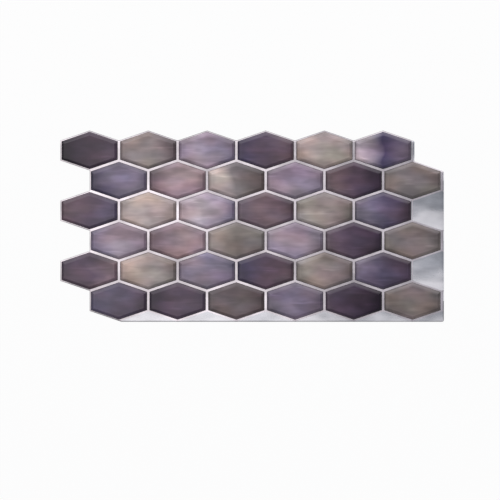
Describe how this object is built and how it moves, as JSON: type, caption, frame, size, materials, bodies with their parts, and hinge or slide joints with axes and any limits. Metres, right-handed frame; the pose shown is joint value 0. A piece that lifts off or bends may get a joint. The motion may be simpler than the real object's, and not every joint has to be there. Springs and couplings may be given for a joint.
{
  "type": "peel and stick backsplash tile",
  "caption": "Self-adhesive backsplash panel of domed gel hexagons on a silver film, with interlocking zigzag edges and bare overlap laps.",
  "frame": {"origin": "centre of the underside of the release liner, on the surface that the panel lies on", "axes": "+X along the rows to the panel's right, +Y to the panel's top row, +Z out of the tiled face"},
  "size_m": [0.3046, 0.1518, 0.002],
  "materials": {
    "liner_paper": "plain siliconed paper",
    "silver_film": "satin metallized film",
    "dark_plum": "glossy clear gel over a brushed metallic dark plum print",
    "plum": "glossy clear gel over a brushed metallic plum print",
    "slate": "glossy clear gel over a brushed metallic slate print",
    "slate_lilac": "glossy clear gel over a brushed metallic slate lilac print",
    "lavender": "glossy clear gel over a brushed metallic lavender print",
    "lilac": "glossy clear gel over a brushed metallic lilac print",
    "mauve": "glossy clear gel over a brushed metallic mauve print",
    "taupe": "glossy clear gel over a brushed metallic taupe print",
    "light_taupe": "glossy clear gel over a brushed metallic light taupe print",
    "grey_taupe": "glossy clear gel over a brushed metallic grey taupe print",
    "brown_taupe": "glossy clear gel over a brushed metallic brown taupe print"
  },
  "bodies": {
    "root": {"release_liner": "liner_paper", "carrier_film": "silver_film", "gel_tile_r1_c1": "dark_plum", "gel_tile_r1_c2": "taupe", "gel_tile_r1_c3": "lavender", "gel_tile_r1_c4": "plum", "gel_tile_r1_c5": "light_taupe", "gel_tile_r1_c6": "slate", "gel_tile_r2_c1": "slate_lilac", "gel_tile_r2_c2": "mauve", "gel_tile_r2_c3": "taupe", "gel_tile_r2_c4": "lavender", "gel_tile_r2_c5": "plum", "gel_tile_r2_c6": "grey_taupe", "gel_tile_r3_c1": "plum", "gel_tile_r3_c2": "light_taupe", "gel_tile_r3_c3": "lilac", "gel_tile_r3_c4": "plum", "gel_tile_r3_c5": "taupe", "gel_tile_r3_c6": "slate", "gel_tile_r4_c1": "lavender", "gel_tile_r4_c2": "mauve", "gel_tile_r4_c3": "brown_taupe", "gel_tile_r4_c4": "lilac", "gel_tile_r4_c5": "dark_plum", "gel_tile_r4_c6": "grey_taupe", "gel_tile_r5_c1": "plum", "gel_tile_r5_c2": "taupe", "gel_tile_r5_c3": "slate_lilac", "gel_tile_r5_c4": "plum", "gel_tile_r5_c5": "taupe", "gel_tile_r5_c6": "slate", "gel_tile_r6_c1": "slate_lilac", "gel_tile_r6_c2": "dark_plum", "gel_tile_r6_c3": "grey_taupe", "gel_tile_r6_c4": "slate_lilac", "gel_tile_r6_c5": "dark_plum", "gel_tile_r6_c6": "grey_taupe"}
  },
  "joints": []
}
